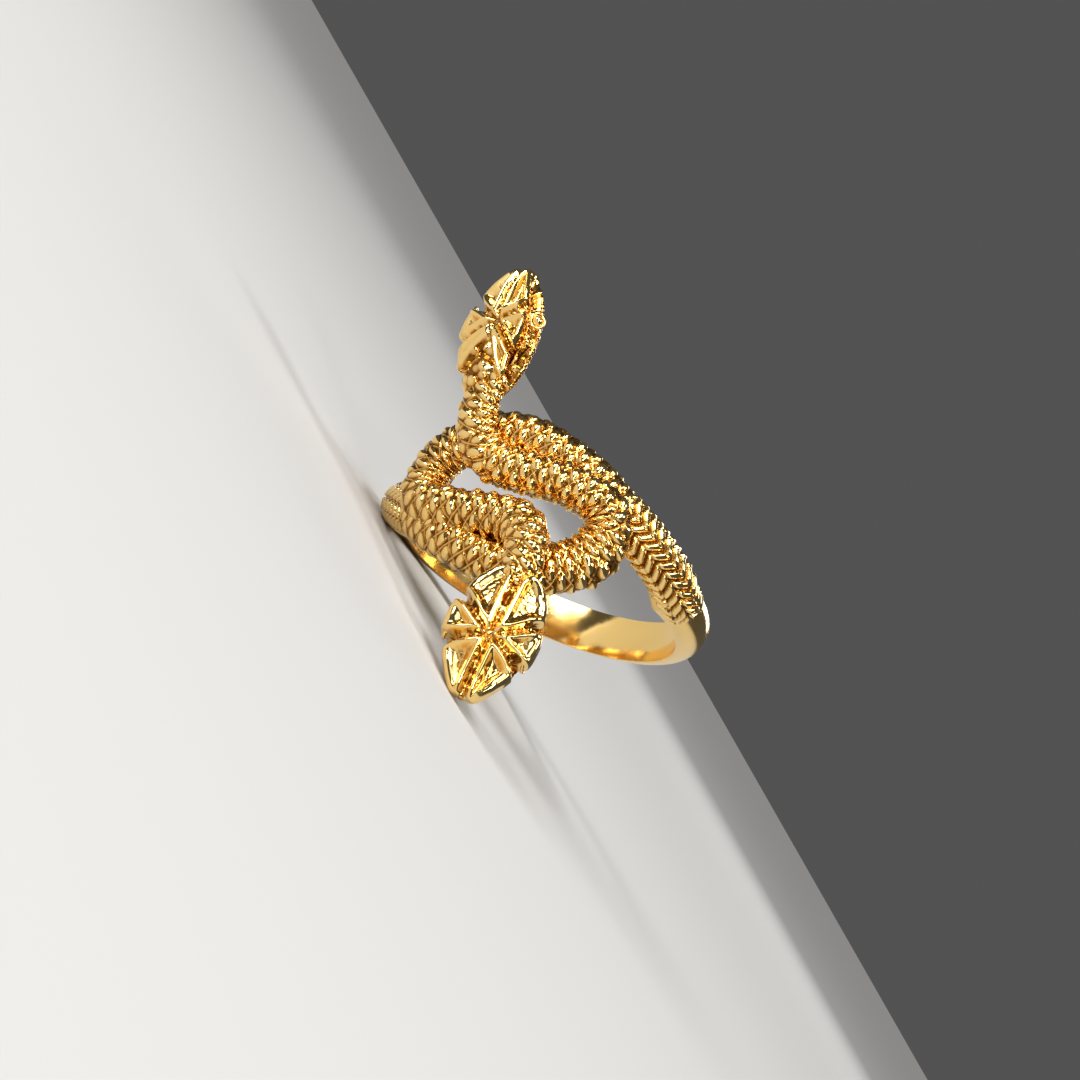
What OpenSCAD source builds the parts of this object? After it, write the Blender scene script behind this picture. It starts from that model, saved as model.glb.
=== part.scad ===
// Snake wrap ring: one casting in yellow gold. A plain half-round shank grows at
// each shoulder into a scaled serpent. Each serpent passes over the finger, loops
// back beside its own body, crosses the other one and ends in a head that points
// along the finger, one each way. The face looks the same after half a turn about
// the line through its middle. The ring lies on its side, on the lower snout and
// the shoulder below.

/* [Finger] */
// Diameter of the finger hole
finger_d = 17.5; // [14:0.5:22]

/* [Shank] */
// Width of the shank along the finger
shank_w = 2.8; // [2:0.1:4]
// Thickness of the shank at the middle of its domed section
shank_t = 1.5; // [0.9:0.1:1.9]
// Angle from the middle of the face to each end of the plain shank
shank_end = 68; // [60:1:80]

/* [Serpents] */
// Length of the face along the finger, from one snout to the other
face_len = 25.4; // [22:0.2:30]
// Width of a serpent's body
body_w = 2.75; // [2.2:0.05:3.2]
// Height of a raised scale
scale_h = 0.16; // [0.05:0.01:0.25]
// Length of a scale along the body
scale_len = 0.84; // [0.7:0.02:1.4]
// Scales counted round a body
scales_round = 11; // [8:1:12]

/* [Heads] */
// Length of a head from neck to snout
head_len = 8.2; // [6:0.1:9]
// Width of a head at its cheeks
head_w = 4.9; // [3.4:0.1:5.4]
// Thickness of a head at its crown
head_t = 2.7; // [2:0.1:3.4]

/* [Resting pose] */
// Roll about X, then tilt about Y, then turn about Z, that lay the ring on its side
rest_roll = -2.6; // [-180:0.1:180]
rest_tilt = -39.8; // [-180:0.1:180]
rest_turn = -27.2; // [-180:0.1:180]
// Place of the middle of the finger hole once it lies there
rest_x = 3.61; // [0:0.01:10]
rest_y = 3.61; // [0:0.01:10]
rest_z = 7.09; // [0:0.01:20]

/* [Hidden] */
$fn = 96;

bore_r = finger_d / 2;
// Where a body is clear of the finger hole, its inner side stays just outside it
inner_r = bore_r + 0.05;

// Columns of the serpent's route, from its shoulder to its neck
ANGLE = 0;   // degrees round the finger from the middle of the face
ALONG = 1;   // place along the finger, as a share of half the face's length
RISE = 2;    // height of the centre over the finger, as a share of the body's width
WIDE = 3;    // width across the body, as a share of the body's width
HIGH = 4;    // height of the body's section, as a share of the body's width
ROUTE = [
    [-79,  0.00, 0.12, 0.98, 1.00],
    [-72,  0.00, 0.22, 1.00, 1.02],
    [-64, -0.03, 0.31, 1.04, 1.00],
    [-54, -0.07, 0.32, 1.06, 0.94],
    [-44, -0.12, 0.30, 1.04, 0.88],
    [-34, -0.17, 0.30, 0.98, 0.86],
    [-23, -0.23, 0.36, 0.98, 0.86],
    [-12, -0.27, 0.39, 0.98, 0.86],
    [ -1, -0.30, 0.40, 1.00, 0.86],
    [  9, -0.30, 0.41, 1.00, 0.86],
    [ 19, -0.27, 0.44, 1.06, 0.88],
    [ 27, -0.20, 0.46, 1.14, 0.92],
    [ 32, -0.13, 0.50, 1.18, 0.96],
    [ 34, -0.05, 0.52, 1.12, 1.00],
    [ 34,  0.03, 0.54, 1.04, 1.00],
    [ 31,  0.10, 0.55, 1.00, 1.00],
    [ 25,  0.13, 0.56, 0.98, 1.00],
    [ 16,  0.14, 0.57, 0.98, 1.00],
    [  8,  0.13, 0.57, 0.98, 1.00],
    [  0,  0.12, 0.60, 0.98, 1.00],
    [ -7,  0.12, 0.72, 0.98, 0.98],
    [-12,  0.16, 0.94, 0.96, 0.92],
    [-15,  0.25, 1.14, 0.92, 0.86],
    [-16,  0.34, 1.22, 0.90, 0.80],
    [-16,  0.42, 1.22, 0.88, 0.76],
    [-16,  0.50, 1.20, 0.80, 0.70]
];

half_face = face_len / 2;
last_row = len(ROUTE) - 1;

// A smooth curve through four rows, at share u between the middle two
function through(a, b, c, d, u) =
    0.5 * (2 * b + (c - a) * u + (2 * a - 5 * b + 4 * c - d) * u * u
        + (3 * b - a - 3 * c + d) * u * u * u);
function row(i) = ROUTE[max(0, min(last_row, i))];
function route(s) =
    let (i = max(0, min(last_row - 1, floor(s))))
    through(row(i - 1), row(i), row(i + 1), row(i + 2), s - i);

function radial(angle) = [sin(angle), -cos(angle), 0];
function centre(s) =
    let (r = route(s))
    (bore_r + r[RISE] * body_w) * radial(r[ANGLE]) + [0, 0, r[ALONG] * half_face];
function unit(v) = v / norm(v);
// No point of a body reaches into the finger hole
function clear_of_finger(p) =
    let (r = norm([p.x, p.y]), k = max(r, inner_r) / r)
    [p.x * k, p.y * k, p.z];

// Length along the route at each of many steps, to space the scales evenly
steps_a_row = 6;
steps = last_row * steps_a_row;
step_points = [for (i = [0:steps]) centre(i / steps_a_row)];
function running(lengths, i = 0, sum = 0, out = []) =
    i == len(lengths) ? concat(out, [sum])
    : running(lengths, i + 1, sum + lengths[i], concat(out, [sum]));
step_lengths = running([for (i = [0:steps - 1]) norm(step_points[i + 1] - step_points[i])]);
body_len = step_lengths[steps];
place_of = [for (i = [0:steps]) [step_lengths[i], i / steps_a_row]];

half_scales = round(2 * body_len / scale_len);
around = 2 * scales_round;
tangent_step = 0.02;
// Below this share of the section's height the skin is plain, against the finger
plain_below = -0.55;

// Points of one ring of skin, half a scale apart, with every other point raised
function skin_ring(k) =
    let (s = lookup(body_len * k / half_scales, place_of),
        r = route(s),
        along = unit(centre(s + tangent_step) - centre(s - tangent_step)),
        side = unit(cross(along, radial(r[ANGLE]))),
        up = cross(side, along),
        raised = scale_h * (k < 2 ? 0 : 1))
    [for (j = [0:around - 1])
        let (a = 360 * (j + 0.5) / around,
            lift = (j + k) % 2 == 0 && sin(a) > plain_below ? raised : 0)
        clear_of_finger(centre(s)
            + (r[WIDE] * body_w / 2 - scale_h + lift) * cos(a) * side
            + (r[HIGH] * body_w / 2 - scale_h + lift) * sin(a) * up)];

// Triangles of a tube whose rings have n points each, with closed ends
function tube_faces(rings, n) = concat(
    [for (k = [0:rings - 2], j = [0:n - 1])
        let (a = k * n + j, b = k * n + (j + 1) % n, split = (j + k) % 2 == 0)
        split ? [a, b, a + n] : [a, b, b + n]],
    [for (k = [0:rings - 2], j = [0:n - 1])
        let (a = k * n + j, b = k * n + (j + 1) % n, split = (j + k) % 2 == 0)
        split ? [b, b + n, a + n] : [a, b + n, a + n]],
    [[for (j = [n - 1:-1:0]) j], [for (j = [0:n - 1]) (rings - 1) * n + j]]);

module scaled_body() {
    color("goldenrod")
    polyhedron(
        points = [for (k = [0:half_scales]) each skin_ring(k)],
        faces = tube_faces(half_scales + 1, around));
}

// Columns of a head's outline, from its neck to its snout
FROM_NECK = 0;   // share of the head's length
HALF_W = 1;      // half width, as a share of the head's width
CROWN = 2;       // height of the crown over the middle, as a share of the head's thickness
JAW = 3;         // depth of the jaw under the middle, as a share of the head's thickness
HEAD = [
    [0.00, 0.27, 0.38, 0.36],
    [0.08, 0.32, 0.41, 0.39],
    [0.15, 0.38, 0.44, 0.42],
    [0.22, 0.43, 0.47, 0.44],
    [0.29, 0.46, 0.49, 0.46],
    [0.36, 0.48, 0.50, 0.48],
    [0.43, 0.50, 0.50, 0.48],
    [0.50, 0.50, 0.50, 0.48],
    [0.56, 0.49, 0.49, 0.47],
    [0.62, 0.47, 0.48, 0.46],
    [0.69, 0.44, 0.46, 0.44],
    [0.76, 0.40, 0.43, 0.41],
    [0.83, 0.34, 0.39, 0.37],
    [0.90, 0.26, 0.32, 0.30],
    [0.96, 0.17, 0.24, 0.22],
    [1.00, 0.07, 0.12, 0.12]
];
function head_at(column, share) = lookup(share, [for (r = HEAD) [r[FROM_NECK], r[column]]]);

head_steps = 28;
// Places across the crown from one cheek to the other, as shares of the half width
CROWN_PLACES = [1, 0.94, 0.82, 0.68, 0.54, 0.4, 0.27, 0.14, 0,
    -0.14, -0.27, -0.4, -0.54, -0.68, -0.82, -0.94];
// Places across the jaw on the way back
JAW_PLACES = [-1, -0.86, -0.5, 0, 0.5, 0.86];
head_sides = len(CROWN_PLACES) + len(JAW_PLACES);
// Turn round the finger that brings a head beside the middle of the face
head_angle = -17;
// Angle by which a snout lifts away from the finger
head_lift = 8;
// Height of a head's middle over the finger, as a share of the body's width
head_rise = 1.2;
// The grooves between the six plates of the crown meet here, as a share of the head's length
plates_meet = 0.52;
// Where the grooves reach the cheeks, ahead of and behind the brow plates
brow_front = 0.62;
brow_back = 0.36;
// The long back plates end here at the middle, and further back towards the cheeks
plates_end = 0.16;
plates_slant = 0.1;
groove_depth = 0.34;
groove_w = 0.3;
// Eye: a low dome on the side of the head, with its place along, across and up
eye_d = 0.9;
eye_along = 0.66;
eye_out = 0.86;
eye_up = 0.3;

// Distance from point p to the line between a and b
function from_line(p, a, b) =
    let (ab = b - a, u = max(0, min(1, (p - a) * ab / (ab * ab))))
    norm(p - a - u * ab);
function groove(d) = exp(-pow(d / groove_w, 2));
// Depth of the grooves at place x across and z along the head
function groove_at(x, z) =
    let (p = [abs(x), z], cheek = head_w / 2,
        middle = [0, plates_meet * head_len], back = [0, plates_end * head_len])
    groove_depth * max(
        groove(from_line(p, back, [0, head_len])),
        groove(from_line(p, middle, [cheek, brow_front * head_len])),
        groove(from_line(p, middle, [cheek, brow_back * head_len])),
        groove(from_line(p, back, [cheek, (plates_end - plates_slant) * head_len])));

function head_ring(share) =
    let (half = head_at(HALF_W, share) * head_w,
        crown = head_at(CROWN, share) * head_t,
        jaw = head_at(JAW, share) * head_t,
        z = share * head_len)
    concat(
        [for (u = CROWN_PLACES)
            [-u * half, crown * pow(1 - u * u, 0.4) - groove_at(u * half, z) * (1 - u * u), z]],
        [for (u = JAW_PLACES)
            [-u * half, -jaw * pow(1 - u * u, 0.5), z]]);

module eyes() {
    half = head_at(HALF_W, eye_along) * head_w;
    crown = head_at(CROWN, eye_along) * head_t;
    for (side = [-1, 1])
        translate([side * eye_out * half, eye_up * crown, eye_along * head_len])
        sphere(d = eye_d, $fn = 12);
}

module head() {
    color("gold")
    rotate([0, 0, head_angle])
    translate([0, -(bore_r + head_rise * body_w), half_face - head_len])
    rotate([head_lift, 0, 0])
    rotate([0, 0, 180]) {
        polyhedron(
            points = [for (k = [0:head_steps]) each head_ring(k / head_steps)],
            faces = tube_faces(head_steps + 1, head_sides));
        eyes();
    }
}

module serpent() {
    scaled_body();
    head();
}

// Half-round section: flat against the finger, domed outside
module shank_section() {
    dome_r = (shank_w * shank_w / 4 + shank_t * shank_t) / (2 * shank_t);
    intersection() {
        translate([bore_r + shank_t - dome_r, 0]) circle(r = dome_r);
        translate([bore_r, -shank_w]) square([shank_w, 2 * shank_w]);
    }
}

module shank() {
    color("gold")
    rotate([0, 0, shank_end - 90])
    rotate_extrude(angle = 360 - 2 * shank_end) shank_section();
}

// The ring with the finger's line along Z and the face towards -Y
module upright_ring() {
    shank();
    resize([0, 0, face_len]) {
        serpent();
        rotate([0, 180, 0]) serpent();
    }
}

module ring() {
    translate([rest_x, rest_y, rest_z])
    rotate([rest_roll, rest_tilt, rest_turn])
    upright_ring();
}

ring();
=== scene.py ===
# Looks of the snake wrap ring: one gold casting, lying on its side on a pale table.

import math

import bpy
import numpy as np
from mathutils import Euler, Matrix, Vector


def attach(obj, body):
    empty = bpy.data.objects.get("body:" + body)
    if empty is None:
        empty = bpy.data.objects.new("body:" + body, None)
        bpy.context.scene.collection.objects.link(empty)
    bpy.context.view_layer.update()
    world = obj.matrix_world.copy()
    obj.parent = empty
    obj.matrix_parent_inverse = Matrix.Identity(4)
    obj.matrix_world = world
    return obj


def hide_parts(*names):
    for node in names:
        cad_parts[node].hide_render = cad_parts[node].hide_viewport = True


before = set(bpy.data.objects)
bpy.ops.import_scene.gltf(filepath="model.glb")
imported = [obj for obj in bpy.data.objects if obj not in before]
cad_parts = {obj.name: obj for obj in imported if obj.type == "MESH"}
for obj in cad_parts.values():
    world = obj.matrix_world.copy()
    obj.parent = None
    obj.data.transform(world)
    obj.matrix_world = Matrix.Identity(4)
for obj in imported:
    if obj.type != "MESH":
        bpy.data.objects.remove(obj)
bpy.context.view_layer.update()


# The shank
# A plain band of yellow gold goes round the back of the finger, flat inside and domed
# outside. It is cast in one with the serpents and polished, with fine scratches and small
# dents of wear, and both its ends run into the serpents' shoulders.
bore_r = 8.75
shank_w = 2.8
shank_t = 1.5
shank_end = math.radians(68)
# The tuck is what lies hidden in a shoulder: its length as an angle, how much narrower
# and lower it ends as shares, and how far aside in mm
tuck = math.radians(16)
tuck_narrow = 0.75
tuck_low = 0.3
tuck_aside = 0.75
dome_points = 192
dome_cut = 1e-6
shank_steps = 180
shank_edge = 0.1
edge_steps = 3
edge_from = math.radians(40)
smooth_to = math.radians(35)
# Points that the bevel leaves nearer than this, in mm, are joined
same_point = 0.0005

# Every piece is shaped with the ring upright, in mm, the finger along Z and the face
# towards -Y. It is then laid on its side, on the lower snout and the shoulder below.
MM = 0.001
lying_turn = Euler([math.radians(angle) for angle in (-2.6, -39.8, -27.2)], "XYZ")
lying_place = Vector((3.61, 3.61, 7.09)) * MM
LAID_DOWN = Matrix.LocRotScale(lying_place, lying_turn, Vector((MM, MM, MM)))

# The gold keeps its own colour where it is raised, and is darkened to dark amber in its
# hollows as painted shade. The places are how deep in the painted shade a point lies, from
# 0 on top to 1 at the bottom.
GOLD = (1.0, 0.69, 0.25, 1.0)
# The half shaded and the fully shaded gold are painted shade, not colours of the metal
HALF_SHADED_GOLD = (0.50, 0.22, 0.03, 1.0)
SHADED_GOLD = (0.16, 0.055, 0.006, 1.0)
gold_to = 0.08
half_shade_at = 0.45
full_shade_from = 0.90
hollow_rough = 0.22

# The wear's fine scratches, small dents and duller patches, as grains to the metre
scratch_turn = (0.5, 0.3, 0.8)
scratch_grains = (9000.0, 500.0, 900.0)
scratch_share = 0.35
dent_grains = 900.0
patch_grains = 350.0
patch_edge = (0.42, 0.68)
wear_strength = 0.5


def noise(group, place, grains_a_metre, detail):
    """A noise texture in a group of shader nodes."""
    made = group.nodes.new("ShaderNodeTexNoise")
    made.inputs["Scale"].default_value = grains_a_metre
    made.inputs["Detail"].default_value = detail
    group.links.new(place, made.inputs["Vector"])
    return made.outputs["Fac"]


def build_wear():
    """Wear: fine scratches and soft dents as a height, and a mask of duller patches."""
    group = bpy.data.node_groups.new("Gold wear", "ShaderNodeTree")
    sockets = group.interface
    sockets.new_socket(name="Fineness", in_out="INPUT", socket_type="NodeSocketFloat")
    sockets.new_socket(name="Height", in_out="OUTPUT", socket_type="NodeSocketFloat")
    sockets.new_socket(name="Dull", in_out="OUTPUT", socket_type="NodeSocketFloat")
    nodes, links = group.nodes, group.links
    start = nodes.new("NodeGroupInput")
    end = nodes.new("NodeGroupOutput")
    place = nodes.new("ShaderNodeTexCoord")
    scaled = nodes.new("ShaderNodeVectorMath")
    scaled.operation = "SCALE"
    links.new(place.outputs["Object"], scaled.inputs[0])
    links.new(start.outputs["Fineness"], scaled.inputs["Scale"])

    stretch = nodes.new("ShaderNodeMapping")
    stretch.inputs["Rotation"].default_value = scratch_turn
    stretch.inputs["Scale"].default_value = scratch_grains
    links.new(scaled.outputs[0], stretch.inputs["Vector"])
    both = nodes.new("ShaderNodeMath")
    both.operation = "MULTIPLY_ADD"
    both.inputs[1].default_value = scratch_share
    scratches = noise(group, stretch.outputs[0], 1.0, detail=3.0)
    dents = noise(group, scaled.outputs[0], dent_grains, detail=4.0)
    links.new(scratches, both.inputs[0])
    links.new(dents, both.inputs[2])
    links.new(both.outputs[0], end.inputs["Height"])

    spread = nodes.new("ShaderNodeMapRange")
    spread.inputs["From Min"].default_value = patch_edge[0]
    spread.inputs["From Max"].default_value = patch_edge[1]
    patches = noise(group, scaled.outputs[0], patch_grains, detail=3.0)
    links.new(patches, spread.inputs["Value"])
    links.new(spread.outputs[0], end.inputs["Dull"])
    return group


WEAR = build_wear()


def gold(name, polish, dull, depth, fineness):
    """Gold with its roughness where polished and where dull, and its wear's depth in mm.

    The mesh's attribute of how deep in its hollows a point lies darkens the gold there as
    painted shade, and dulls it."""
    material = bpy.data.materials.new(name)
    material.use_nodes = True
    nodes, links = material.node_tree.nodes, material.node_tree.links
    surface = nodes["Principled BSDF"]
    surface.inputs["Metallic"].default_value = 1.0

    wear = nodes.new("ShaderNodeGroup")
    wear.node_tree = WEAR
    wear.inputs["Fineness"].default_value = fineness

    # Painted shade: the mesh's attribute darkens the gold's colour in its hollows through
    # this ramp
    painted_shade = nodes.new("ShaderNodeAttribute")
    painted_shade.attribute_name = "painted_shade"
    colours = nodes.new("ShaderNodeValToRGB")
    stops = colours.color_ramp.elements
    stops[0].position = gold_to
    stops[0].color = GOLD
    stops[1].position = full_shade_from
    stops[1].color = SHADED_GOLD
    stops.new(half_shade_at).color = HALF_SHADED_GOLD
    links.new(painted_shade.outputs["Fac"], colours.inputs["Fac"])
    links.new(colours.outputs["Color"], surface.inputs["Base Color"])

    roughness = nodes.new("ShaderNodeMapRange")
    roughness.inputs["To Min"].default_value = polish
    roughness.inputs["To Max"].default_value = dull
    links.new(wear.outputs["Dull"], roughness.inputs["Value"])
    added = nodes.new("ShaderNodeMath")
    added.operation = "MULTIPLY_ADD"
    added.inputs[1].default_value = hollow_rough
    links.new(painted_shade.outputs["Fac"], added.inputs[0])
    links.new(roughness.outputs[0], added.inputs[2])
    links.new(added.outputs[0], surface.inputs["Roughness"])

    bump = nodes.new("ShaderNodeBump")
    bump.inputs["Strength"].default_value = wear_strength
    bump.inputs["Distance"].default_value = depth * MM
    links.new(wear.outputs["Height"], bump.inputs["Height"])
    links.new(bump.outputs["Normal"], surface.inputs["Normal"])
    return material


def deselect():
    """Nothing is selected or in edit mode, so the next operator acts on its own piece."""
    if bpy.context.object and bpy.context.object.mode != "OBJECT":
        bpy.ops.object.mode_set(mode="OBJECT")
    bpy.ops.object.select_all(action="DESELECT")


def lay_down(piece):
    """Brings a piece that was shaped upright to its place in the ring as it lies."""
    piece.data.transform(LAID_DOWN @ piece.matrix_world)
    piece.matrix_world = Matrix.Identity(4)
    piece.data.update()


def make_shank():
    """The domed section, spun round the finger from one shoulder to the other."""
    deselect()
    dome_r = (shank_w * shank_w / 4 + shank_t * shank_t) / (2 * shank_t)
    start = shank_end - tuck - math.pi / 2
    outwards = Vector((math.cos(start), math.sin(start), 0))
    bpy.ops.mesh.primitive_circle_add(
        vertices=dome_points,
        radius=dome_r,
        fill_type="NGON",
        location=(bore_r + shank_t - dome_r) * outwards,
        rotation=(math.radians(90), 0, start),
    )
    made = bpy.context.object
    made.name = "shank"
    bpy.ops.object.transform_apply(location=True, rotation=True, scale=True)
    bpy.ops.object.mode_set(mode="EDIT")
    bpy.ops.mesh.select_all(action="SELECT")
    bpy.ops.mesh.bisect(
        plane_co=bore_r * outwards, plane_no=outwards, clear_inner=True, threshold=dome_cut
    )
    bpy.ops.mesh.select_all(action="SELECT")
    bpy.ops.mesh.spin(
        steps=shank_steps,
        angle=2 * math.pi - 2 * (shank_end - tuck),
        center=(0, 0, 0),
        axis=(0, 0, -1),
    )
    bpy.ops.mesh.select_all(action="SELECT")
    bpy.ops.mesh.normals_make_consistent(inside=False)
    bpy.ops.object.mode_set(mode="OBJECT")
    for vertex in made.data.vertices:
        place = vertex.co
        past = shank_end - math.atan2(abs(place.x), -place.y)
        if past > 0:
            share = min(past / tuck, 1)
            aside = math.copysign(tuck_aside * share, place.x)
            place.z = place.z * (1 - tuck_narrow * share) + aside
            reach = math.hypot(place.x, place.y)
            lowered = bore_r + (reach - bore_r) * (1 - tuck_low * share)
            place.x *= lowered / reach
            place.y *= lowered / reach
    bevel = made.modifiers.new("rim", "BEVEL")
    bevel.width = shank_edge
    bevel.segments = edge_steps
    bevel.limit_method = "ANGLE"
    bevel.angle_limit = edge_from
    bpy.ops.object.modifier_apply(modifier="rim")
    bpy.ops.object.mode_set(mode="EDIT")
    bpy.ops.mesh.select_all(action="SELECT")
    bpy.ops.mesh.remove_doubles(threshold=same_point)
    bpy.ops.object.mode_set(mode="OBJECT")
    bpy.ops.object.shade_smooth_by_angle(angle=smooth_to)
    return made


shank = make_shank()
lay_down(shank)
shank.data.materials.append(
    gold("shank_gold", polish=0.09, dull=0.22, depth=0.022, fineness=0.8)
)
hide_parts("ring")
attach(shank, "root")


# The serpents' bodies
# Each body is cast in gold with stacked chevrons at its shoulder, and further on a net of
# thin raised lines round long pointed beads, which lie across it. Its underside is plain,
# where it lies on the finger or on the other body.
body_w = 2.75
face_len = 25.4
half_face = face_len / 2
# The smooth skin lies so many mm under the full size, and the relief rises from it. It
# fades away underneath, between two sines of the angle round the body.
body_skin_h = 0.24
underside = (-0.75, -0.35)
finger_gap = 0.05
body_gold = gold("body_gold", polish=0.08, dull=0.18, depth=0.016, fineness=1.0)
upper_turn = Matrix.Identity(4)
lower_turn = Matrix.Rotation(math.pi, 4, "Y")
# Columns: degrees round the finger, place along it as a share of half the face, rise over
# the finger, width and height, the last three as shares of the body's width
ROUTE = np.array([
    [-79, 0.00, 0.12, 0.98, 1.00],
    [-72, 0.00, 0.22, 1.00, 1.02],
    [-64, -0.03, 0.31, 1.04, 1.00],
    [-54, -0.07, 0.32, 1.06, 0.94],
    [-44, -0.12, 0.30, 1.04, 0.88],
    [-34, -0.17, 0.30, 0.98, 0.86],
    [-23, -0.23, 0.36, 0.98, 0.86],
    [-12, -0.27, 0.39, 0.98, 0.86],
    [-1, -0.30, 0.40, 1.00, 0.86],
    [9, -0.30, 0.41, 1.00, 0.86],
    [19, -0.27, 0.44, 1.06, 0.88],
    [27, -0.20, 0.46, 1.14, 0.92],
    [32, -0.13, 0.50, 1.18, 0.96],
    [34, -0.05, 0.52, 1.12, 1.00],
    [34, 0.03, 0.54, 1.04, 1.00],
    [31, 0.10, 0.55, 1.00, 1.00],
    [25, 0.13, 0.56, 0.98, 1.00],
    [16, 0.14, 0.57, 0.98, 1.00],
    [8, 0.13, 0.57, 0.98, 1.00],
    [0, 0.12, 0.60, 0.98, 1.00],
    [-7, 0.12, 0.72, 0.98, 0.98],
    [-12, 0.16, 0.94, 0.96, 0.92],
    [-15, 0.25, 1.14, 0.92, 0.86],
    [-16, 0.34, 1.22, 0.90, 0.80],
    [-16, 0.42, 1.22, 0.88, 0.76],
    [-16, 0.50, 1.20, 0.80, 0.70],
])
route_samples = 40
route_step = 0.02
scale_len = 1.0
scales_round = 5
points_a_scale = 24
rows_a_scale = 16

# The net's lines and beads: heights in mm, the rest in half scales or shares. A bead
# leans, shifts and grows by chance, which repeats after so many cells of the net.
line_w = 0.075
line_h = 0.13
# The lines and the beads' tops are spared the painted shade that darkens the gaps between
# them
line_bright = 0.9
bead_across = 0.80
bead_along = 0.56
bead_tip = 1.5
bead_belly = 1.7
bead_h = 0.29
bead_bright = (0.05, 0.75)
bead_lean = 0.16
bead_shift = 0.05
bead_longer = 0.05
bead_higher = 0.14
net_cells = (61, 241)

# The chevrons and the seams between their arms: the height and the end along the body in
# mm, the rest in half scales or shares
chevron_h = 0.30
chevron_len = 1.25
chevron_slant = 0.85
chevron_turn = 0.46
chevron_rise = 0.45
chevron_drop = 0.86
# The chevrons' bars are spared the painted shade, and the seams between their arms get part
# of it
chevron_bright = (0.05, 0.6)
chevrons_end = (7.2, 8.2)
seam_w = (0.02, 0.10)
seam_h = 0.35
seam_bright = 0.3


def smooth_rows(table, at):
    """Smooth curve through the rows of a table, at row numbers with fractions."""
    last = len(table) - 1
    first = np.clip(np.floor(at).astype(int), 0, last - 1)
    u = (at - first)[:, None]
    a = table[np.clip(first - 1, 0, last)]
    b = table[first]
    c = table[first + 1]
    d = table[np.clip(first + 2, 0, last)]
    bend = (2 * a - 5 * b + 4 * c - d) * u ** 2
    return 0.5 * (2 * b + (c - a) * u + bend + (3 * b - a - 3 * c + d) * u ** 3)


def outward(at):
    """Direction from the finger's line through each place of the route."""
    angle = np.radians(smooth_rows(ROUTE, at)[:, 0])
    return np.stack([np.sin(angle), -np.cos(angle), np.zeros_like(angle)], axis=1)


def body_centre(at):
    """Middle of the body at row numbers of the route."""
    row = smooth_rows(ROUTE, at)
    middle = (bore_r + row[:, 2:3] * body_w) * outward(at)
    middle[:, 2] = row[:, 1] * half_face
    return middle


def unit(vectors):
    """Vectors of the same directions, each one long."""
    return vectors / np.linalg.norm(vectors, axis=-1, keepdims=True)


def smoothstep(low, high, x):
    """Rises smoothly from 0 at low to 1 at high, and stays there."""
    u = np.clip((x - low) / (high - low), 0, 1)
    return u * u * (3 - 2 * u)


def outward_normals(grid):
    """Normals of a grid of points whose rows go round a tube."""
    round_step = np.roll(grid, -1, axis=1) - np.roll(grid, 1, axis=1)
    along_step = np.gradient(grid, axis=0)
    return unit(np.cross(along_step, round_step))


def tube_mesh(name, grid, painted_shade):
    """A closed tube from rows of points, with the painted shade of each point in its hollows.
    """
    rows, columns = grid.shape[:2]
    k, j = np.meshgrid(np.arange(rows - 1), np.arange(columns), indexing="ij")
    beside = (j + 1) % columns
    corners = [(k, j), (k + 1, j), (k + 1, beside), (k, beside)]
    quads = np.stack([row * columns + column for row, column in corners], axis=-1)
    last = (rows - 1) * columns
    ends = [list(range(columns)), list(range(last, last + columns))[::-1]]
    mesh = bpy.data.meshes.new(name)
    mesh.from_pydata(grid.reshape(-1, 3).tolist(), [], quads.reshape(-1, 4).tolist() + ends)
    mesh.update()
    mesh.polygons.foreach_set("use_smooth", [True] * len(mesh.polygons))
    # The painted shade goes on each point as an attribute that the gold's colour reads
    layer = mesh.attributes.new("painted_shade", "FLOAT", "POINT")
    layer.data.foreach_set("value", np.clip(painted_shade, 0, 1).reshape(-1).astype(np.float32))
    piece = bpy.data.objects.new(name, mesh)
    bpy.context.collection.objects.link(piece)
    return piece


def net_and_beads(across, along, seed):
    """Relief of the net and its beads, in mm, and the painted shade in the gaps between them.

    Across and along count half scales, so a scale is a diamond two of each long."""
    p = (across + along) / 2
    q = (across - along) / 2
    p_cell = np.round(p)
    q_cell = np.round(q)
    near_p = p - p_cell
    near_q = q - q_cell
    to_line = 0.5 - np.maximum(np.abs(near_p), np.abs(near_q))
    line = np.exp(-(to_line / line_w) ** 2)

    chance = np.random.default_rng(seed).uniform(-1, 1, (3, *net_cells))
    cell = (p_cell.astype(int) % net_cells[0], q_cell.astype(int) % net_cells[1])
    lean, size, shift = [layer[cell] for layer in chance]
    aside = near_p + near_q + bead_shift * shift
    ahead = near_p - near_q + bead_lean * lean * aside
    tip = (np.abs(aside) / bead_across) ** bead_tip
    belly = (np.abs(ahead) / (bead_along + bead_longer * size)) ** bead_belly
    bead = np.sqrt(np.clip(1 - (tip + belly), 0, 1)) * (1 + bead_higher * size)
    height = line_h * line + bead_h * bead
    # Painted shade: dark in the gaps and on the beads' lower flanks, spared on the lines and
    # the beads' tops
    painted_shade = 1 - np.maximum(line_bright * line, smoothstep(*bead_bright, bead))
    return height, painted_shade


def chevrons(across, along):
    """Relief of the stacked chevrons at a shoulder, in mm, and the painted shade in the gaps
    between them and in the seams.

    Each chevron is a bar that zigzags round the body and drops steeply at its front."""
    zigzag = np.abs((across - chevron_turn) % 2 - 1)
    front = (along / chevron_len + chevron_slant * zigzag) % 1
    bar = smoothstep(0.0, chevron_rise, front) * smoothstep(1.0, chevron_drop, front)
    seam = np.abs((across - chevron_turn + 0.5) % 1 - 0.5)
    plain = smoothstep(*seam_w, seam)
    height = chevron_h * bar * (seam_h + (1 - seam_h) * plain)
    # Painted shade: dark in the gaps between the bars and partly dark in the seams, while the
    # bars' tops keep the gold's colour
    shine = bar * (seam_bright + (1 - seam_bright) * plain)
    return height, 1 - smoothstep(*chevron_bright, shine)


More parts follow.
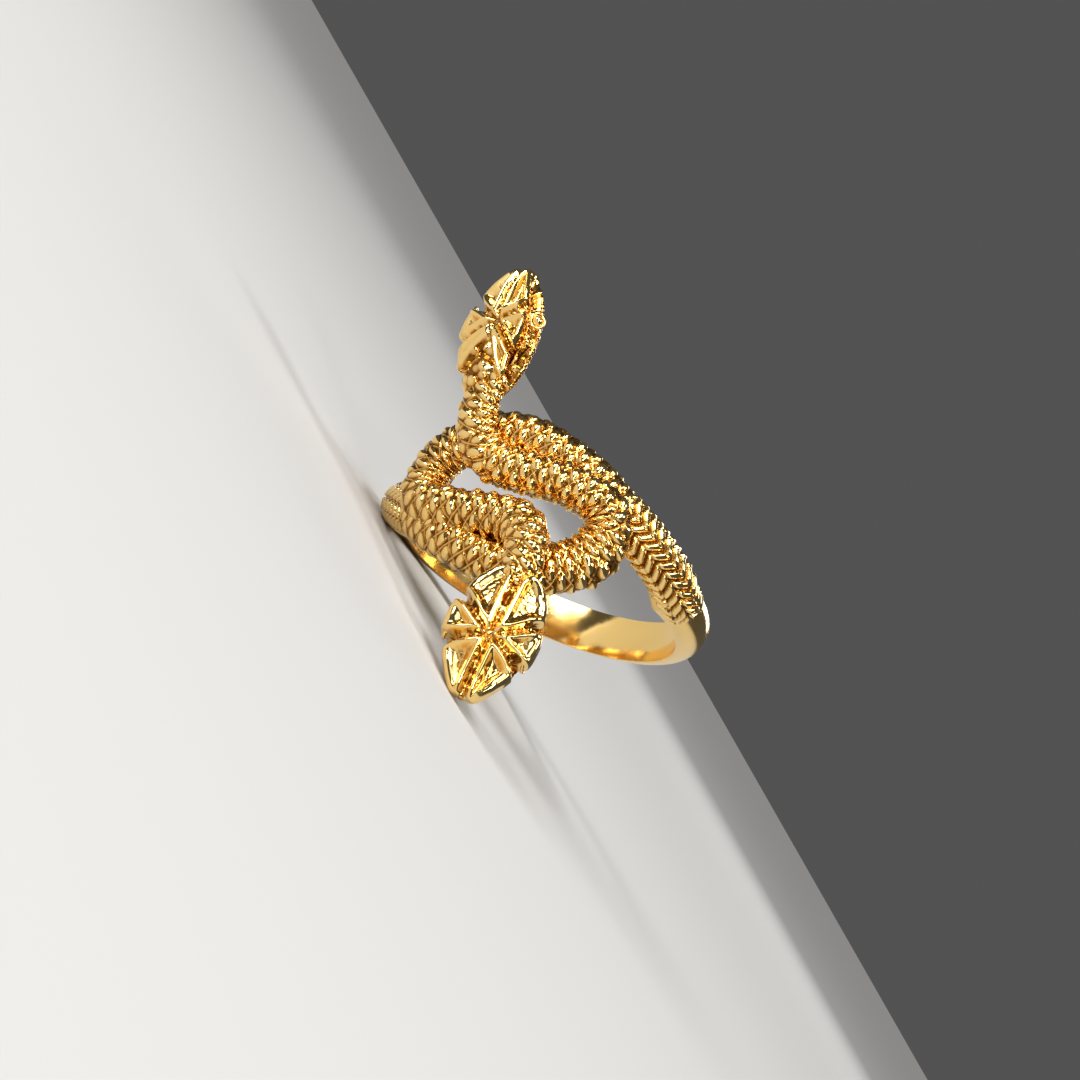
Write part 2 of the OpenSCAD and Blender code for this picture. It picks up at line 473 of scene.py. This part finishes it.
def body_grid(seed):
    """Points of one body's skin, evenly spaced along the route, and the painted shade in
    their hollows.
    """
    last = len(ROUTE) - 1
    fine = np.linspace(0, last, route_samples * last)
    steps = np.linalg.norm(np.diff(body_centre(fine), axis=0), axis=1)
    run = np.concatenate([[0], np.cumsum(steps)])
    half_scales = round(2 * run[-1] / scale_len)
    rows = half_scales * rows_a_scale // 2
    from_shoulder = np.linspace(0, run[-1], rows + 1)
    at = np.interp(from_shoulder, run, fine)

    row = smooth_rows(ROUTE, at)
    along = unit(body_centre(at + route_step) - body_centre(at - route_step))
    side = unit(np.cross(along, outward(at)))
    up = np.cross(side, along)
    columns = scales_round * points_a_scale
    angle = np.radians(360 * (np.arange(columns) + 0.5) / columns)
    wide = (row[:, 3] * body_w / 2 - body_skin_h)[:, None, None]
    high = (row[:, 4] * body_w / 2 - body_skin_h)[:, None, None]
    grid = body_centre(at)[:, None] + wide * np.cos(angle)[None, :, None] * side[:, None]
    grid = grid + high * np.sin(angle)[None, :, None] * up[:, None]

    around = np.arange(columns)[None, :] * 2 / points_a_scale
    forward = np.arange(rows + 1)[:, None] * 2 / rows_a_scale
    height, painted_shade = net_and_beads(around, forward, seed)
    steep, steep_painted_shade = chevrons(around, forward)
    beaded = smoothstep(*chevrons_end, from_shoulder)[:, None]
    height = height * beaded + steep * (1 - beaded)
    # The painted shade blends from the chevrons to the net as the relief does
    painted_shade = painted_shade * beaded + steep_painted_shade * (1 - beaded)
    seen = smoothstep(*underside, np.sin(angle))[None, :]
    slim = np.minimum(row[:, 3], row[:, 4])[:, None]
    grid = grid + (height * seen * slim)[:, :, None] * outward_normals(grid)
    reach = np.hypot(grid[..., 0], grid[..., 1])
    clear = np.maximum(reach, bore_r + finger_gap) / reach
    grid[..., :2] *= clear[..., None]
    return grid, painted_shade * seen


def make_body(name, seed, turned):
    """One serpent's body, cast in gold and laid down in its place."""
    body = tube_mesh(name, *body_grid(seed))
    body.matrix_world = turned
    lay_down(body)
    body.data.materials.append(body_gold)
    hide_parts("ring")
    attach(body, "root")


make_body("upper_serpent_body", seed=3, turned=upper_turn)
make_body("lower_serpent_body", seed=8, turned=lower_turn)


# The serpents' heads
# A head is a long leaf with six polished plates on its crown: two at the snout, two over
# the brows and two long ones behind. Deep grooves part them, with fine grains in them and
# on the cheeks. It is cast in one with its body.
head_len = 8.2
head_w = 4.9
head_t = 2.7
head_turn = math.radians(-17)
head_lift = math.radians(8)
head_rise = 1.2
head_skin_h = 0.12
# Powers that bow the section: 1 makes an ellipse, and less a flatter crown or jaw
crown_bow = 0.5
jaw_bow = 0.9
head_rows = 260
head_columns = 300
skin_samples = 7201
head_gold = gold("head_gold", polish=0.07, dull=0.16, depth=0.016, fineness=1.1)
# Where a head sits on the upright ring, before the half turn of the lower one. Its rise
# over the finger is a share of the body's width.
HEAD_PLACE = (
    Matrix.Rotation(head_turn, 4, "Z")
    @ Matrix.Translation((0, -(bore_r + head_rise * body_w), half_face - head_len))
    @ Matrix.Rotation(head_lift, 4, "X")
    @ Matrix.Rotation(math.pi, 4, "Z")
)
# Columns: place from the neck as a share of the length, half width as a share of the
# width, and the crown's height and the jaw's depth as shares of the thickness
HEAD = np.array([
    [0.00, 0.20, 0.33, 0.31],
    [0.08, 0.29, 0.40, 0.38],
    [0.15, 0.37, 0.44, 0.42],
    [0.22, 0.43, 0.47, 0.44],
    [0.29, 0.46, 0.49, 0.46],
    [0.36, 0.48, 0.50, 0.48],
    [0.43, 0.50, 0.50, 0.48],
    [0.50, 0.50, 0.50, 0.48],
    [0.56, 0.49, 0.49, 0.47],
    [0.62, 0.47, 0.48, 0.46],
    [0.69, 0.44, 0.46, 0.44],
    [0.76, 0.40, 0.43, 0.41],
    [0.83, 0.34, 0.39, 0.37],
    [0.90, 0.26, 0.32, 0.30],
    [0.96, 0.17, 0.24, 0.22],
    [1.00, 0.05, 0.10, 0.10],
])
# Corners of the plates on one side: across as a share of the half width, and from the
# snout as a share of the length
SNOUT_PLATE = [(0.05, -0.03), (0.30, 0.0), (0.55, 0.10), (0.74, 0.19), (0.86, 0.265),
               (0.60, 0.335), (0.30, 0.390), (0.05, 0.420)]
BROW_PLATE = [(0.06, 0.438), (0.36, 0.415), (0.68, 0.372), (0.96, 0.335), (1.03, 0.42),
              (1.04, 0.54), (0.98, 0.640), (0.46, 0.515)]
# The two long plates part early on the upper head, with small lumps behind them, and lie
# side by side on the lower head
UPPER_BACK = [(0.02, 0.452), (0.40, 0.534), (0.96, 0.675), (0.96, 0.80), (0.82, 0.885),
              (0.58, 0.800), (0.30, 0.668), (0.02, 0.555)]
LOWER_BACK = [(0.05, 0.458), (0.42, 0.538), (0.96, 0.690), (0.92, 0.78), (0.76, 0.88),
              (0.48, 0.97), (0.18, 0.99), (0.07, 0.88)]

# The plates' relief in mm: heights, and slopes from where to where inwards from a plate's
# edge. The groove's share is how much of a plate's height is sunk below the smooth head.
plate_gap = 0.20
plate_h = 0.34
plate_slope = (-0.20, 0.08)
rim_h = 0.13
rim_at = 0.15
rim_w = 0.13
dish_depth = 0.38
dish_slope = (0.20, 0.58)
groove_share = 0.8
groove_slope = (-0.12, 0.02)
open_slope = (-0.35, -0.95)
brow_out = 0.22
brow_slope = (-0.15, 0.30)
notch_depth = 0.32
softened = 8
# The edges of the crown and the cheeks in radians up from the side, which move down at the
# snout's tip, the lobes' edge as a share of the half width, and the ends in mm
crown_edge = (-0.30, -0.08)
cheek_edge = (-1.05, -0.75)
lobe_edge = (0.55, 1.0)
tip_lowered = 0.7
tip_len = 1.2
snout_end = 0.25
neck_end = 0.9

# The grains in the grooves and on the cheeks, and the lumps behind the upper head's
# plates: sizes and heights in mm, the rest as shares
grain_size = 0.25
grain_h = 0.075
grain_r = 0.40
grain_r_more = 0.25
grain_cells = 97
lump_size = 0.6
lump_h = 0.24
lumps_from = (0.58, 0.64)
dish_grain = 0.2
lump_grain = 0.4
# Painted shade in the grooves and on the grained cheeks, in the plates' dishes and in the
# lumps' gaps, and how much a grain's top lightens it
groove_dark = 0.66
groove_lit = 0.56
dish_dark = 0.34
dish_lit = 0.20
lump_dark = 0.80


def inside_distance(x, y, corners):
    """How far points lie inside an outline, and below zero how far outside it."""
    nearest = np.full(x.shape, np.inf)
    inside = np.zeros(x.shape, bool)
    for (ax, ay), (bx, by) in zip(corners, corners[1:] + corners[:1]):
        length = (bx - ax) ** 2 + (by - ay) ** 2
        u = np.clip(((x - ax) * (bx - ax) + (y - ay) * (by - ay)) / length, 0, 1)
        gap = np.hypot(x - ax - u * (bx - ax), y - ay - u * (by - ay))
        nearest = np.minimum(nearest, gap)
        if ay != by:
            crosses = (ay > y) != (by > y)
            inside ^= crosses & (x < (bx - ax) * (y - ay) / (by - ay) + ax)
    return np.where(inside, nearest, -nearest)


def grains(aside, ahead, size, seed):
    """Round grains strewn with one in each square of a size, from 0 between to 1 on top."""
    u = aside / size
    v = ahead / size
    chance = np.random.default_rng(seed).uniform(0, 1, (3, grain_cells, grain_cells))
    rise = np.zeros_like(u)
    for step_u in (-1, 0, 1):
        for step_v in (-1, 0, 1):
            cell_u = np.floor(u) + step_u
            cell_v = np.floor(v) + step_v
            cell = (cell_u.astype(int) % grain_cells, cell_v.astype(int) % grain_cells)
            away = np.hypot(u - cell_u - chance[0][cell], v - cell_v - chance[1][cell])
            radius = grain_r + grain_r_more * chance[2][cell]
            rise = np.maximum(rise, radius * np.sqrt(np.clip(1 - (away / radius) ** 2, 0, 1)))
    return rise / (grain_r + grain_r_more)


def soften(height):
    """Rounds the edges of a relief, as casting and wear do."""
    for _ in range(softened):
        height = (np.roll(height, 1, axis=1) + 2 * height + np.roll(height, -1, axis=1)) / 4
        before = np.concatenate([height[:1], height[:-1]])
        after = np.concatenate([height[1:], height[-1:]])
        height = (before + 2 * height + after) / 4
    return height


def head_relief(x, half, girth, from_snout, turn, back, cheek_from):
    """Relief over a head's smooth form, in mm, and the painted shade in its grooves, on its
    cheeks, in its dishes and between its lumps.

    Turn is the angle up from the cheek, so the jaw's is negative, and girth is the
    length round the head from the middle of the crown."""
    plate_x = np.where(x > 0, x / cheek_from, -x)
    insides = []
    for corners in (SNOUT_PLATE, BROW_PLATE, back):
        outline = [(a * head_w / 2, b * head_len) for a, b in corners]
        insides.append(inside_distance(plate_x, from_snout, outline) - plate_gap / 2)
    inside = np.maximum.reduce(insides)
    at_tip = 1 - smoothstep(0, tip_len, from_snout)
    top = smoothstep(*crown_edge, turn + tip_lowered * at_tip)
    rim = np.exp(-((inside - rim_at) / rim_w) ** 2)
    dish = smoothstep(*dish_slope, inside)
    groove = 1 - smoothstep(*groove_slope, inside)
    far = smoothstep(*open_slope, inside)
    level = smoothstep(*plate_slope, inside) - groove_share + groove_share * far
    height = top * (plate_h * level + rim_h * rim - dish_depth * dish)
    outer = smoothstep(*lobe_edge, np.abs(x) / half)
    height += top * brow_out * outer * smoothstep(*brow_slope, insides[1])
    height -= top * notch_depth * outer * groove * (1 - far)
    height = soften(height)

    grain = grains(girth, from_snout, grain_size, seed=11)
    lump = grains(girth, from_snout, lump_size, seed=5)
    behind = top * smoothstep(*lumps_from, from_snout / head_len) * groove
    cheek = (1 - top) * smoothstep(*cheek_edge, turn)
    rough = top * groove * (1 - behind) + cheek
    height += (rough + dish_grain * top * dish) * grain_h * grain
    height += behind * (lump_h * (lump - 0.5) + lump_grain * grain_h * grain)
    # Painted shade: dark in the grooves, on the grained cheeks, in the dishes and between the
    # lumps, lighter on the grains' tops
    painted_shade = rough * (groove_dark - groove_lit * grain)
    painted_shade += top * dish * (dish_dark - dish_lit * grain)
    painted_shade += behind * lump_dark * (1 - lump)
    return height, painted_shade


def even_angles():
    """Angles round a head from the middle of its jaw, evenly spaced along its skin."""
    fine = np.radians(np.linspace(-90, 270, skin_samples))
    rise = np.sin(fine)
    x = head_w * np.cos(fine)
    y = head_t * np.sign(rise) * np.abs(rise) ** np.where(rise >= 0, crown_bow, jaw_bow)
    run = np.concatenate([[0], np.cumsum(np.hypot(np.diff(x), np.diff(y)))])
    return np.interp(run[-1] * np.arange(head_columns) / head_columns, run, fine)


def head_grid(back, cheek_from):
    """Points of a head's skin, from its neck to its snout, and the painted shade in their
    hollows.
    """
    row = smooth_rows(HEAD, np.linspace(0, len(HEAD) - 1, head_rows))
    angle = even_angles()
    across = np.cos(angle)[None, :]
    rise = np.sin(angle)[None, :]
    half = row[:, 1:2] * head_w - head_skin_h
    crown = (row[:, 2:3] * head_t - head_skin_h) * np.abs(rise) ** crown_bow
    jaw = (row[:, 3:4] * head_t - head_skin_h) * np.abs(rise) ** jaw_bow
    x = half * across
    y = np.where(rise >= 0, crown, -jaw)
    z = row[:, 0:1] * head_len + 0 * across
    grid = np.stack([-x, y, z], axis=-1)
    steps = np.linalg.norm(np.diff(grid, axis=1, prepend=grid[:, :1]), axis=2)
    girth = np.cumsum(steps, axis=1)
    girth = girth - girth[:, np.argmax(rise), None]
    from_snout = head_len - z
    turn = np.arcsin(rise)
    height, painted_shade = head_relief(x, half, girth, from_snout, turn, back, cheek_from)
    ends = smoothstep(0, snout_end, from_snout) * smoothstep(0, neck_end, z)
    grid = grid + (height * ends)[:, :, None] * outward_normals(grid)
    return grid, painted_shade


def make_head(name, back, cheek_from, turned):
    """One head with its long plates, cast in gold and laid down in its place.

    On one side the plates reach only to a share of the half width, where the cheek begins,
    so the upper head shows its cheek to the camera."""
    head = tube_mesh(name, *head_grid(back, cheek_from))
    head.matrix_world = turned @ HEAD_PLACE
    lay_down(head)
    head.data.materials.append(head_gold)
    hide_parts("ring")
    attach(head, "root")


make_head("upper_head", UPPER_BACK, cheek_from=0.76, turned=upper_turn)
make_head("lower_head", LOWER_BACK, cheek_from=1.0, turned=lower_turn)


# The eyes
# Each eye is a gold bead in a raised ring, cast on the side of the head behind the snout
# plate and polished as the plates are.
# The place along is a share of the head's length from the neck, and the rest is in mm
eye_along = 0.61
eye_r = 0.30
eye_ring_r = 0.42
eye_wire_r = 0.09


def make_eyes(name, out, up, turned):
    """Both eyes of one head, joined in one mesh.

    Out is a share of the half width, and up is a share of the crown's height."""
    half, crown = [
        float(np.interp(eye_along, HEAD[:, 0], HEAD[:, column])) for column in (1, 2)
    ]
    parts = []
    for hand in (-1, 1):
        place = (hand * out * half * head_w, up * crown * head_t, eye_along * head_len)
        deselect()
        bpy.ops.mesh.primitive_uv_sphere_add(
            segments=32, ring_count=16, radius=eye_r, location=place
        )
        parts.append(bpy.context.object)
        bpy.ops.mesh.primitive_torus_add(
            major_segments=40,
            minor_segments=12,
            major_radius=eye_ring_r,
            minor_radius=eye_wire_r,
            location=place,
            rotation=(math.radians(-90), 0, hand * math.radians(-90 + 90 * up)),
        )
        parts.append(bpy.context.object)
    deselect()
    for part in parts:
        part.select_set(True)
    bpy.context.view_layer.objects.active = parts[0]
    bpy.ops.object.join()
    eyes = bpy.context.object
    bpy.ops.object.transform_apply(location=True, rotation=True, scale=True)
    bpy.ops.object.shade_smooth()
    eyes.name = name
    eyes.matrix_world = turned @ HEAD_PLACE
    lay_down(eyes)
    eyes.data.materials.append(head_gold)
    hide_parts("ring")
    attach(eyes, "root")


make_eyes("upper_head_eyes", out=1.02, up=0.32, turned=upper_turn)
make_eyes("lower_head_eyes", out=0.98, up=0.05, turned=lower_turn)


# The table
# A wide plain table with a pale matt top carries the ring and is no part of it. The
# solid ring rests on it, and the finer relief of the lower head dips a little into it.
table_size = 8000
FLOOR = (0.54, 0.53, 0.515, 1.0)
deselect()
bpy.ops.mesh.primitive_plane_add(size=table_size * MM)
table = bpy.context.object
table.name = "table"
table_paint = bpy.data.materials.new("table_paint")
table_paint.use_nodes = True
table_surface = table_paint.node_tree.nodes["Principled BSDF"]
table_surface.inputs["Base Color"].default_value = FLOOR
table_surface.inputs["Roughness"].default_value = 0.9
table_surface.inputs["Specular IOR Level"].default_value = 0.1
table.data.materials.append(table_paint)


# The camera
# It looks at the face from the photograph's side, rolled so that the ring stands in the
# picture as it does there, and is just above the table.
# The middle of the finger's hole lies at ring_at in the picture, in pixels from its top
# left, and the camera is so many mm away from it
picture = 1080
ring_at = (550.8, 571.2)
pixels_a_mm = 16.54
camera_far = 122.0
camera_above = math.radians(2.3)
camera_roll = math.radians(60.3)
camera_data = bpy.data.cameras.new("camera")
camera = bpy.data.objects.new("camera", camera_data)
bpy.context.collection.objects.link(camera)
bpy.context.scene.camera = camera
camera_data.sensor_fit = "HORIZONTAL"
camera_data.sensor_width = 36.0
camera_data.lens = pixels_a_mm * camera_far / picture * camera_data.sensor_width
camera_data.shift_x = (picture / 2 - ring_at[0]) / picture
camera_data.shift_y = (ring_at[1] - picture / 2) / picture
camera_data.clip_start = 0.005
towards_camera = Vector((0, -math.cos(camera_above), math.sin(camera_above)))
place = Matrix.Translation(lying_place + towards_camera * camera_far * MM)
tilt = Matrix.Rotation(math.pi / 2 - camera_above, 4, "X")
roll = Matrix.Rotation(camera_roll, 4, "Z")
camera.matrix_world = place @ tilt @ roll


# The light
# A dark studio with a strong soft lamp in front of the picture's top, a small one beside
# the camera, a wide one above it, one overhead, a faint one behind and an even light.
STUDIO = (0.085, 0.085, 0.085, 1.0)
world = bpy.data.worlds.new("studio")
bpy.context.scene.world = world
world.use_nodes = True
world.node_tree.nodes["Background"].inputs["Color"].default_value = STUDIO
bpy.context.scene.view_settings.view_transform = "Standard"


def lamp(name, way, far, size, power):
    """A square soft lamp that faces the ring from a direction, sizes in mm."""
    data = bpy.data.lights.new(name, "AREA")
    data.shape = "SQUARE"
    data.size = size * MM
    data.energy = power
    made = bpy.data.objects.new(name, data)
    bpy.context.collection.objects.link(made)
    direction = Vector(way).normalized()
    made.location = lying_place + direction * far * MM
    made.rotation_euler = direction.to_track_quat("Z", "Y").to_euler()


lamp("key_lamp", (-0.80, -0.60, 0.45), far=300, size=120, power=0.66)
lamp("camera_lamp", (0.25, -1.0, 0.35), far=320, size=45, power=0.26)
lamp("fill_lamp", (0.1, -1.0, 0.85), far=400, size=185, power=0.36)
lamp("top_lamp", (0.45, -0.15, 1.0), far=300, size=90, power=0.30)
lamp("back_lamp", (0.3, 1.0, 0.5), far=320, size=120, power=0.18)
sun_data = bpy.data.lights.new("even_light", "SUN")
sun_data.energy = 1.4
sun_data.angle = math.radians(20)
sun = bpy.data.objects.new("even_light", sun_data)
bpy.context.collection.objects.link(sun)
sun.rotation_euler = Vector((-0.3, -0.4, 1.0)).to_track_quat("Z", "Y").to_euler()
